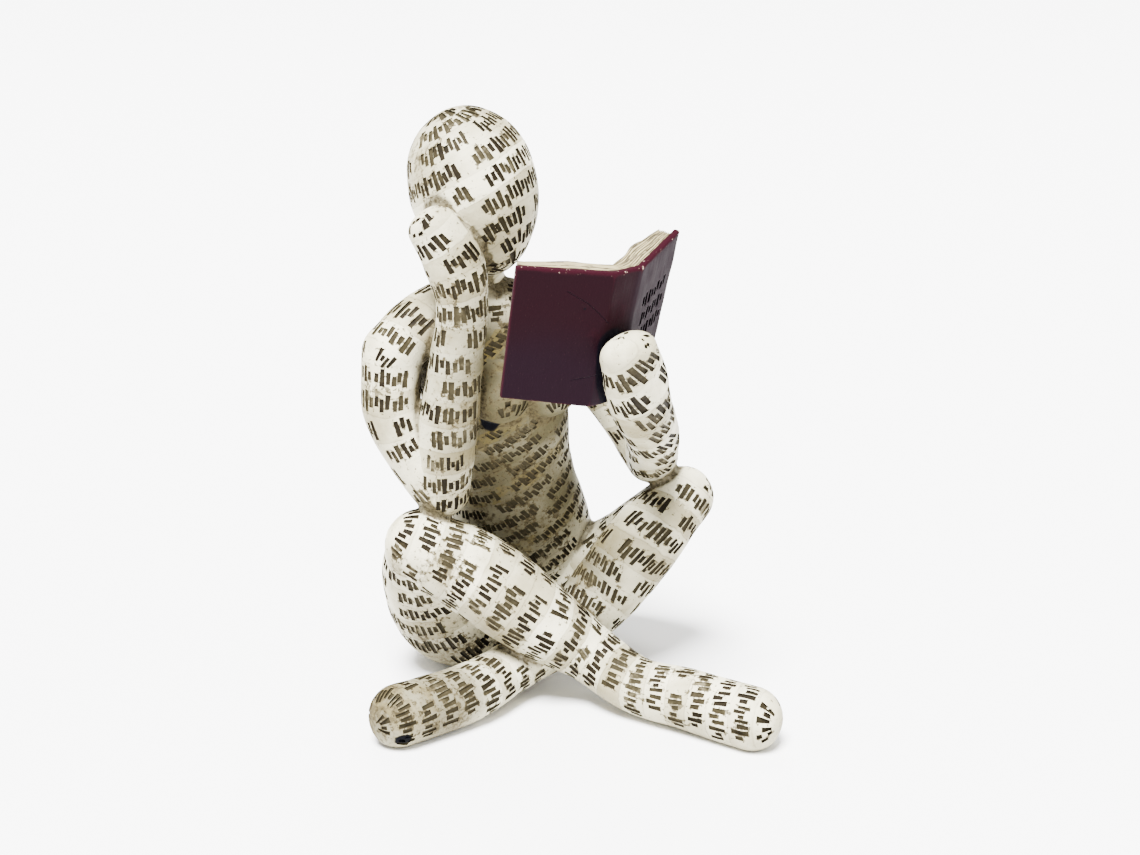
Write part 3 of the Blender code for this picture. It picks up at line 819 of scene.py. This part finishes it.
# tones: each strip of the helix has its own, over a broad noise; the glaze and painted shade multiply it;
# then the wash by dirt and painted shade, painted shade and grime in creases, smears round the marks and the
# lines between strips, each broken by a patchy noise; then its thick spots, also deep painted shade, and the
# ink
def ivoryResin(material):
    tree, place = startMaterial(material)
    wobble, broad, patchy, fine, grain, specks = [noise(place, *how) for how in ivorySet["noises"].values()]
    creaseShadeAndGrime, dirtAndShade, glazeAndShade, halo, ink = attributes(tree, "creaseShadeAndGrime", "dirtAndShade", "glazeAndShade", "halo", "ink")
    climb = flatPlace(tree, "strips")[2] + (wobble * 0.30 - 0.15)
    share = calculate("FRACT", climb)
    toEdge = calculate("MINIMUM", share, 1.0 - share)
    tone = put(tree, "ShaderNodeTexWhiteNoise", {"W": calculate("FLOOR", climb)}, "Value",
               noise_dimensions="1D")

    line = ease(toEdge, 0.0, ivorySet["stripLine"], 1.0, 0.0) * ease(broad, 0.38, 0.62, 0.15, 1.0)
    mottled = ease(patchy * 0.45 + grain * 0.55 + dirtAndShade * 0.16, 0.555, 0.66, 0.0, 0.75)
    # painted shade with brown grime where another limb lies close
    creasedShadeAndGrime = ease(creaseShadeAndGrime, 0.30, 0.92) * ease(patchy, 0.2, 0.7, 0.6, 1.1)
    reach = halo * ease(patchy, 0.35, 0.60, 0.35, 1.15)
    smear = ease(reach * 0.20 + grain, 0.64, 0.71, 0.0, 0.85)
    # brown wash and painted shade from dirt, creases and smears
    washAndShade = mottled * ease(dirtAndShade, 0.02, 0.3) + dirtAndShade * 0.12 + creasedShadeAndGrime + smear
    washAndShade = calculate("MULTIPLY_ADD", line, 0.35, washAndShade, clamp=True)
    # thick grime, and deep painted shade where the wash and shade are heavy
    thick = ease(washAndShade, 0.62, 1.1) * ease(fine, 0.38, 0.66, 0.2, 0.9)
    thick = greater(thick, ease(specks, 0.66, 0.72) * ease(dirtAndShade + creaseShadeAndGrime, 0.05, 0.7, 0.25, 0.80))

    light = ease(tone * 0.28 + broad * 1.1, 0.36, 1.00)
    # the brown glaze and painted shade multiply the ivory
    glazeAndShadeFilm = calculate("MULTIPLY", glazeAndShade, ease(broad + tone, 0.3, 1.4, 1.12, 0.94), clamp=True)
    ochre = ease(tone * 0.5 + patchy, 0.80, 0.95) * glazeAndShade
    spill = spilled(patchy, ink)
    colour = blendColours(light, ivorySet["ivory"], ivorySet["cream"])
    colour = blendColours(glazeAndShadeFilm, colour, ivorySet["glazeAndShade"], "MULTIPLY")
    colour = layered(colour, ivorySet, (("ochre", ochre * 0.55), ("wash", washAndShade * 0.93), ("grimeAndDeepShade", thick),
                                        ("ink", spill)))

    rough = ease(washAndShade * 0.7 + patchy * 0.6, 0.2, 1.0, *ivorySet["roughness"])
    rough = greater(rough, greater(spill, glazeAndShadeFilm) * 0.9)
    height = patchy * 0.55 + share * 0.40 + fine * 0.40
    finishMaterial(colour, rough, height, ivorySet["bump"], ivorySet["specular"])


# a pressed mark's floor: dark stain, rubbed to a worn brown and here and there nearly bare, and worn brown
# under the glaze and painted shade
def stainedMark(material, dark, worn, pale, specular):
    tree, place = startMaterial(material)
    patchy, fine = noise(place, 420.0, 4.0, 0.6), noise(place, 1600.0, 2.0, 0.6)
    paled, glazeAndShade, ink = attributes(tree, "paled", "glazeAndShade", "ink")
    tone = paled * 0.45 + patchy * 0.8
    colour = blendColours(ease(tone, 0.40, 0.85), dark, worn)
    colour = blendColours(ease(tone, 0.80, 1.0, 0.0, 0.8), colour, pale)
    # marks turn worn brown under the glaze and painted shade
    colour = blendColours(ease(glazeAndShade, 0.3, 1.0, 0.0, 0.65), colour, worn)
    colour = blendColours(spilled(patchy, ink), colour, ivorySet["ink"])
    finishMaterial(colour, ease(fine, 0.3, 0.7, 0.55, 0.8), fine, 0.0001, specular)


ivoryResin(skinPaint)
stainedMark(stain, (0.0088, 0.0066, 0.0032), (0.030, 0.0245, 0.0125), (0.14, 0.12, 0.07), 0.05)


# the book: a cover and a block of leaves, each a box whose faces are grids, bent along the fold

coverSet = {
    "edgeRound": 0.55,  # mm
    "hinge": 0.8,  # mm, half width of the bend at each side of the spine
    "dimple": (-10.6, 9.4, 0.9, 0.28),  # mm along the boards, up the book, radius, depth
    "ripple": 0.05,  # mm
    "markRows": (7.0, 1.4, -4.2),  # mm up the book
    "markStart": 7.5,  # mm from the spine's edge
    "markAdvance": 3.9,  # mm
    "marksInRow": 4,
    "markScale": 0.95,
    "markDepth": 0.35,  # mm
    "markBars": (
        ((-1.0, -2.1, 1.5, -0.9, 2.1, 1.2), (0.9, -0.9, 1.1, 1.0, 1.3, 1.5)),
        ((-1.0, -1.2, 1.3, -1.0, 1.6, 1.6), (0.9, -2.1, 1.5, 0.9, 2.1, 1.2)),
        ((-1.1, -1.6, 1.5, -1.1, 1.0, 1.3), (0.8, -0.8, 1.2, 0.8, 2.1, 1.5)),
    ),
    "plum": (0.0071, 0.0018, 0.0032),
    "slate": (0.0062, 0.0024, 0.0047),  # the bluer paint of the lower half and of her left board
    "crimson": (0.0150, 0.0025, 0.0050),
    "chip": (0.26, 0.20, 0.155),
    "ring": (0.0022, 0.0018, 0.0034),
    # painted sheen: grey along the brush streaks on her left board
    "brushedSheen": (0.0250, 0.0190, 0.0215),
    "bump": 0.00012,  # m
    "specular": 0.012,
    # up = slope * along + bow * along squared + start, in mm, from low to high along the boards
    "hairlines": ((-1.1, -0.02, 1.2, -16.0, -3.5), (0.35, 0.0, -9.6, -11.0, -4.0)),
}

leavesSet = {
    "profile": ((1.0, 0.75), (0.72, 1.0), (0.45, 1.25), (0.24, 1.15)),  # share of width, of thickness
    "sheets": 9,
    "groove": 0.45,  # mm
    "sag": 0.5,  # mm that the head of the block sinks between the boards
    "cream": (0.58, 0.51, 0.32),
    "yellowed": (0.21, 0.165, 0.07),
    "wash": (0.022, 0.016, 0.007),
}


# the skin of the box [-1, 1] cubed on three spacings, with shared edges merged
def boxGrid(first, second, third):
    points, quads, start = [], [], 0
    spacings = (first, second, third)
    for axis in range(3):
        a, b = [spacings[other] for other in range(3) if other != axis]
        one, two = np.meshgrid(a, b, indexing="ij")
        for end in (-1.0, 1.0):
            face = np.insert(np.stack([one, two], axis=-1), axis, end, axis=-1).reshape(-1, 3)
            cells = gridQuads(len(a), len(b)) + start
            flipped = (end > 0) == (axis != 1)
            quads.append(cells[:, ::-1] if flipped else cells)
            points.append(face)
            start += len(face)
    points, quads = np.vstack(points), np.vstack(quads)
    merged, number = np.unique(np.round(points, 7), axis=0, return_inverse=True)
    return merged, number.reshape(-1)[quads]


# spacing from -1 to 1 that crowds towards both ends
def crowded(count, crowd):
    even = np.linspace(-1.0, 1.0, count)
    return (1 - crowd) * even + crowd * np.sin(even * math.pi / 2)


# along the boards and in from the outer face: the direction turns evenly from the spine to the fold angle
# over the hinge, the line is the running sum of its cosine and sine, and depth goes square to it
def bend(along, into):
    hinge, table = coverSet["hinge"], np.linspace(0.0, 40.0, 2001)
    turned = fold * np.clip((table - halfSpine + hinge) / (2 * hinge), 0.0, 1.0)
    step = table[1] - table[0]
    x = np.concatenate([[0.0], np.cumsum(np.cos(turned[:-1]) * step)])
    y = np.concatenate([[0.0], np.cumsum(np.sin(turned[:-1]) * step)])
    far = np.abs(along)
    angle = np.interp(far, table, turned)
    outX = np.interp(far, table, x) - into * np.sin(angle)
    outY = np.interp(far, table, y) + into * np.cos(angle)
    return np.where(along < 0, -outX, outX), outY


# height of a point: the foot edge climbs evenly from the spine out to the fore edges
def bookHeight(up, x, half):
    reach = halfSpine + bookSet["widthFoot"] * math.cos(fold)
    low = bookSet["footRise"] * np.abs(x) / reach - half
    return low + (half - low) * (up + half) / (2 * half)


# width of a board where the share runs from 0 at the foot to 1 at the head
def boardWidth(share):
    return bookSet["widthFoot"] + (bookSet["widthTop"] - bookSet["widthFoot"]) * share


# 1 at the start of a distance, and e times less after each reach
def fading(distance, start, reach):
    return np.exp(-(distance - start) / reach)


# the cover is a flat box, its edges rounded by going out from an inner box by the radius, then dented,
# rippled and bent; wear follows the distance from its edges, a painted highlight the distance from the hinge
# ridges, and the ring and the rub follow the distance from the left forearm
def buildCover(material):
    half, thick, radius = bookSet["height"] / 2, bookSet["board"] / 2, coverSet["edgeRound"]
    width = boardWidth(0.5)
    box = np.array([halfSpine + width, thick, half])
    grid, quads = boxGrid(crowded(150, 0.35), crowded(9, 0.5), crowded(92, 0.4))
    flat = grid * box
    inner = np.clip(flat, radius - box, box - radius)
    rounded = inner + unit(flat - inner) * radius
    inside = np.abs(flat - inner).max(axis=1) < 1e-9
    rounded[inside] = flat[inside]
    along, into, up = rounded.T
    far = np.abs(along)
    local = boardWidth((up + half) / (2 * half))
    far = np.where(far > halfSpine, halfSpine + (far - halfSpine) * local / width, far)
    u, v, r, depth = coverSet["dimple"]
    outer = np.clip(-into / thick, 0, 1)
    hollow = np.exp(-((along - u) ** 2 + (up - v) ** 2) / r ** 2)
    ripple = coverSet["ripple"] * (np.sin(along * 0.9 + up * 0.35) + np.sin(up * 0.55 - along * 0.3 + 1.0))
    x, y = bend(np.sign(along) * far, into + thick + outer * (depth * hollow + ripple))
    points = inFrame(np.stack([x, y, bookHeight(up, x, half)], axis=-1))
    cover = meshObject("bookCover", points, quads, material)
    head, side = half - up, np.minimum(box[0] - np.abs(along), half + up)
    hinge = np.abs(np.abs(along) - halfSpine)
    rubbed = np.maximum(fading(head, 0.35, 0.75), 0.75 * fading(side, 0.2, 0.45))
    # painted highlight: lighter crimson lines along the hinge ridges, with the rubbed edges
    wearAndHighlight = np.clip(rubbed + 0.45 * outer * np.exp(-(hinge / 0.45) ** 2), 0, 1)
    setPointValues(cover, "wearAndHighlight", np.maximum(wearAndHighlight, 0.60 * outer * np.exp(-(head / 1.7) ** 2)))
    around = nearWrap(wraps["leftForearm"], points)[0] / mm
    ring = np.clip(1.45 - np.maximum(around, 0) / 2.3, 0, 1)
    setPointValues(cover, "ring", np.maximum(ring, 0.8 * outer * hollow))
    rub = np.clip(1.3 - np.abs(around - 4.2) / 3.0, 0, 1)
    setPointValues(cover, "rub", rub * np.clip((up + 2.0) / 4.0, 0, 1))
    setFlatMap(cover, "boards", np.stack([along, up], axis=-1)[quads.ravel()])
    return cover


# the block is the space between two curves over both boards, cut square at head, foot and fore edges;
# its edges are grooved between the sheets, which run evenly from the board to the open page
def buildLeaves(material):
    half = bookSet["height"] / 2 - bookSet["leavesInset"]
    grid, quads = boxGrid(crowded(110, 0.2), np.linspace(-1, 1, 46), crowded(60, 0.3))
    u, t, v = grid.T
    share = (v + 1) / 2
    width, mean = boardWidth(share) - bookSet["leavesInset"], boardWidth(0.5) - bookSet["leavesInset"]
    outs, highs = np.array(leavesSet["profile"])[::-1].T
    stations = np.vstack([[(0.0, bookSet["board"] + bookSet["gutter"])],
                          onBoard(1, mean * outs, bookSet["board"] + bookSet["leaves"] * highs)])
    far = np.abs(u)
    smooth = throughStations(stations, np.concatenate([[0.0], outs]), far)
    top = smooth + onBoard(1, far * (width - mean), 0.0) - onBoard(1, 0.0, 0.0)
    base = bookSet["board"] * 0.75
    flat = np.clip(far / 0.15, 0, 1)
    low = onBoard(1, np.clip(far - 0.15, 0, 1) / 0.85 * width, base)
    low[:, 0] = np.where(far < 0.15, flat * (halfSpine - base * math.sin(fold)), low[:, 0])
    low[:, 1] = np.where(far < 0.15, base * (1 - flat) + flat * low[:, 1], low[:, 1])
    level = (t + 1) / 2
    random = np.random.default_rng(5)
    offsets = random.uniform(-1, 1, 64)
    sheet = level * leavesSet["sheets"] + 0.25 * np.sin(u * 5.0) + 0.15 * np.sin(u * 11.0 + 1.3)
    jut = np.interp(sheet, np.arange(64) - 2, offsets)
    groove = np.abs(np.cos(math.pi * sheet)) ** 6
    sunk = leavesSet["groove"] * (groove + 0.5 * (1 + jut) * 0.5)
    spot = low + (top - low) * level[:, None]
    spot[:, 0] -= np.where(far > 0.999, sunk, 0.0) * math.cos(fold)
    x = np.where(u < 0, -spot[:, 0], spot[:, 0])
    up = v * half
    sag = leavesSet["sag"] * (1 - far ** 2) * share * level
    z = bookHeight(up, x, half) - np.where(np.abs(v) > 0.999, np.sign(v) * sunk, 0.0) - sag
    leaves = meshObject("bookLeaves", inFrame(np.stack([x, spot[:, 1], z], axis=-1)), quads, material)
    setPointValues(leaves, "groove", groove * (np.maximum(far, np.abs(v)) > 0.999))
    setPointValues(leaves, "edge", (np.maximum(far, np.abs(v)) > 0.995) * 1.0)
    setFlatMap(leaves, "sheets", np.stack([u * mean, sheet], axis=-1)[quads.ravel()])
    return leaves


# three rows of bars pressed into her left board, in the outer half
def bookMarks(material):
    random = np.random.default_rng(12)
    points = []
    for row, up in enumerate(coverSet["markRows"]):
        for number in range(coverSet["marksInRow"]):
            place = halfSpine + coverSet["markStart"] + row * 0.6 + number * coverSet["markAdvance"]
            for bar in coverSet["markBars"][random.integers(len(coverSet["markBars"]))]:
                along, above = barCorners(bar).T * coverSet["markScale"]
                x, y = bend(place + along, np.zeros(4))
                z = bookHeight(up + above, x, bookSet["height"] / 2)
                points.append(inFrame(np.stack([x, y, z], axis=-1)))
    faces = barFace + 4 * np.arange(len(points))[:, None]
    cutter = meshObject("bookMarkCutter", np.vstack(points), faces, material, smooth=False)
    return thicken(cutter, coverSet["markDepth"])


plum = bpy.data.materials.new("plum paint")
darkMark = bpy.data.materials.new("black in the marks")
paper = bpy.data.materials.new("cream leaves")
cover = buildCover(plum)
cutBy(cover, bookMarks(darkMark))
leaves = buildLeaves(paper)


# plum paint: darker and redder above, bluer below and on her left board, brushed up and down with a painted
# grey sheen on her left board; crimson and chips where the edges are rubbed, a painted highlight on the hinge
# ridges, two hairlines, and a black ring of glue where the fingertips end
def plumPaint(material):
    tree, place = startMaterial(material)
    boards, along, up = flatPlace(tree, "boards")
    streaks = vectorMath(vectorMath(boards, "MULTIPLY", (1.0, 0.06, 0.0)), "ADD", (0.3, 0.7, 0.41))
    brushedSheen = noise(streaks, 1.6, 4.0, 0.6)
    patchy, broad = noise(place, 260.0, 4.0, 0.6), noise(place, 70.0, 3.0, 0.5)
    fine, flakes = noise(place, 1500.0, 2.0, 0.6), noise(place, 850.0, 3.0, 0.6)
    wearAndHighlight, ring, rub = attributes(tree, "wearAndHighlight", "ring", "rub")
    slate = greater(ease(broad * 9.0 + up, 12.0, -6.0, 0.0, 0.9), ease(along, 1.5, 5.0))
    # painted sheen along the brush streaks of her left board
    paintedSheen = ease(along, 1.5, 7.0) * ease(brushedSheen, 0.35, 0.72, 0.15, 0.75)
    # crimson where the edges are rubbed, and painted highlight on the hinge ridges
    red = greater(ease(patchy * 0.8 + wearAndHighlight, 0.70, 1.25), rub * ease(patchy, 0.48, 0.70, 0.0, 0.35))
    chips = ease(wearAndHighlight, 0.35, 0.9) * ease(flakes, 0.655, 0.70) * ease(up, 0.0, 16.0, 0.3, 1.0)
    black = ease(patchy * 0.35 + ring, 0.72, 0.98)
    crack = None
    for slope, bow, start, low, high in coverSet["hairlines"]:
        bent = along * slope + start + along * along * bow + patchy * 1.6
        within = calculate("GREATER_THAN", along, low) * calculate("LESS_THAN", along, high)
        hair = ease(calculate("ABSOLUTE", up - bent), 0.05, 0.22, 1.0, 0.0) * within
        crack = hair if crack is None else greater(crack, hair)
    colour = layered(coverSet["plum"], coverSet, (
        ("slate", slate), ("brushedSheen", paintedSheen), ("crimson", red), ("chip", chips), ("ring", black),
        ("ring", crack * 0.4)))
    height = brushedSheen * 0.5 + patchy * 0.5 - crack * 1.2 + fine * 0.08
    rough = brushedSheen * 0.22 + wearAndHighlight * 0.12 + 0.20 + ease(along, 1.0, 4.0, 0.0, 0.35)
    finishMaterial(colour, rough, height, coverSet["bump"], coverSet["specular"])


# cream leaves: brown wash in the grooves between the sheets and in thin wavy lines along them
def creamLeaves(material):
    tree, place = startMaterial(material)
    sheets, _, level = flatPlace(tree, "sheets")
    groove, edge = attributes(tree, "groove", "edge")
    patchy = noise(place, 380.0, 4.0, 0.6)
    wavy = noise(vectorMath(sheets, "MULTIPLY", (0.22, 0.9, 0.0)), 1.0, 2.0, 0.5) * 1.6 + level * 0.55
    thin = calculate("ABSOLUTE", calculate("FRACT", wavy) - 0.5)
    lines = ease(thin, 0.03, 0.28, 1.0, 0.0) * ease(patchy, 0.32, 0.52, 0.4, 1.0)
    edge = ease(edge, 0.3, 0.9)
    dark = greater(ease(groove, 0.25, 0.95), lines) * (edge * 0.8 + 0.2)
    aged = greater(ease(patchy, 0.35, 0.7, 0.0, 0.30), edge * 0.75)
    colour = layered(leavesSet["cream"], leavesSet, (("yellowed", aged), ("wash", dark * 0.9)))
    finishMaterial(colour, ease(patchy, 0.3, 0.7, 0.5, 0.7), patchy * 0.3 - dark * 0.8, 0.0002, 0.3)


plumPaint(plum)
creamLeaves(paper)
stainedMark(darkMark, (0.0012, 0.0010, 0.0016), (0.002, 0.0015, 0.0025), (0.004, 0.003, 0.005), 0.0)
print("book made:", len(cover.data.polygons), "and", len(leaves.data.polygons), "faces")


# camera at the photograph's angle; aim and distance in mm, angles in degrees, lens in mm

cameraSet = {"aim": (6.07, -6.45, 82.0), "azimuth": -25.0, "elevation": 18.0, "distance": 600.0,
             "lens": 68.59}


# an object at a place that looks in a direction
def aimed(name, data, place, direction):
    item = bpy.data.objects.new(name, data)
    bpy.context.scene.collection.objects.link(item)
    return adjust(item, location=place, rotation_mode="QUATERNION",
                  rotation_quaternion=direction.to_track_quat("-Z", "Y"))


def addCamera():
    turn, rise = math.radians(cameraSet["azimuth"]), math.radians(cameraSet["elevation"])
    back = Vector((math.sin(turn) * math.cos(rise), -math.cos(turn) * math.cos(rise), math.sin(rise)))
    lens = adjust(bpy.data.cameras.new("camera"), lens=cameraSet["lens"], sensor_width=36.0,
                  clip_start=0.02, clip_end=20.0)
    place = (Vector(cameraSet["aim"]) + back * cameraSet["distance"]) * mm
    bpy.context.scene.camera = aimed("camera", lens, place, -back)


# pale floor and soft studio light

studioSet = {
    "floor": 12.0,  # m
    "sky": 1.15,
    "key": ((-0.45, -0.45, 1.45), 24.0, 27.0),  # from there, width in degrees, strength
    "lamps": {  # place in m, size in m, power in W
        "fill": ((1.0, -0.6, 0.7), 0.9, 5.0),
        "back": ((0.3, 0.9, 1.3), 0.8, 20.0),
    },
}


def addStudio():
    span = np.linspace(-studioSet["floor"] / 2, studioSet["floor"] / 2, 9)
    x, y = np.meshgrid(span, span, indexing="ij")
    ground = np.stack([x, y, np.zeros_like(x)], axis=-1).reshape(-1, 3)
    paint = bpy.data.materials.new("pale floor")
    paint.use_nodes = True
    shader = paint.node_tree.nodes["Principled BSDF"]
    shader.inputs["Base Color"].default_value = (0.93, 0.93, 0.93, 1.0)
    shader.inputs["Roughness"].default_value = 0.7
    floor = meshObject("floor", ground, gridQuads(9, 9)[:, ::-1], paint)
    world = bpy.data.worlds.new("studio")
    world.use_nodes = True
    sky = world.node_tree.nodes["Background"].inputs
    sky["Color"].default_value = (1.0, 1.0, 1.0, 1.0)
    sky["Strength"].default_value = studioSet["sky"]
    bpy.context.scene.world = world
    place, width, strength = studioSet["key"]
    sun = adjust(bpy.data.lights.new("key", "SUN"), angle=math.radians(width), energy=strength)
    aimed("key", sun, place, -Vector(place))
    for name, (place, size, power) in studioSet["lamps"].items():
        disk = adjust(bpy.data.lights.new(name, "AREA"), shape="DISK", size=size, energy=power)
        aimed(name, disk, place, Vector(cameraSet["aim"]) * mm - Vector(place))


addCamera()
addStudio()


# the pieces go on the root body, and the frame's own parts are hidden

for piece, node, slot in ((skin, "reading_figure", "ivory_resin"), (cover, "open_book", "plum_paint"),
                          (leaves, "open_book", "plum_paint")):
    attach(piece, "root")
    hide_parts(node)
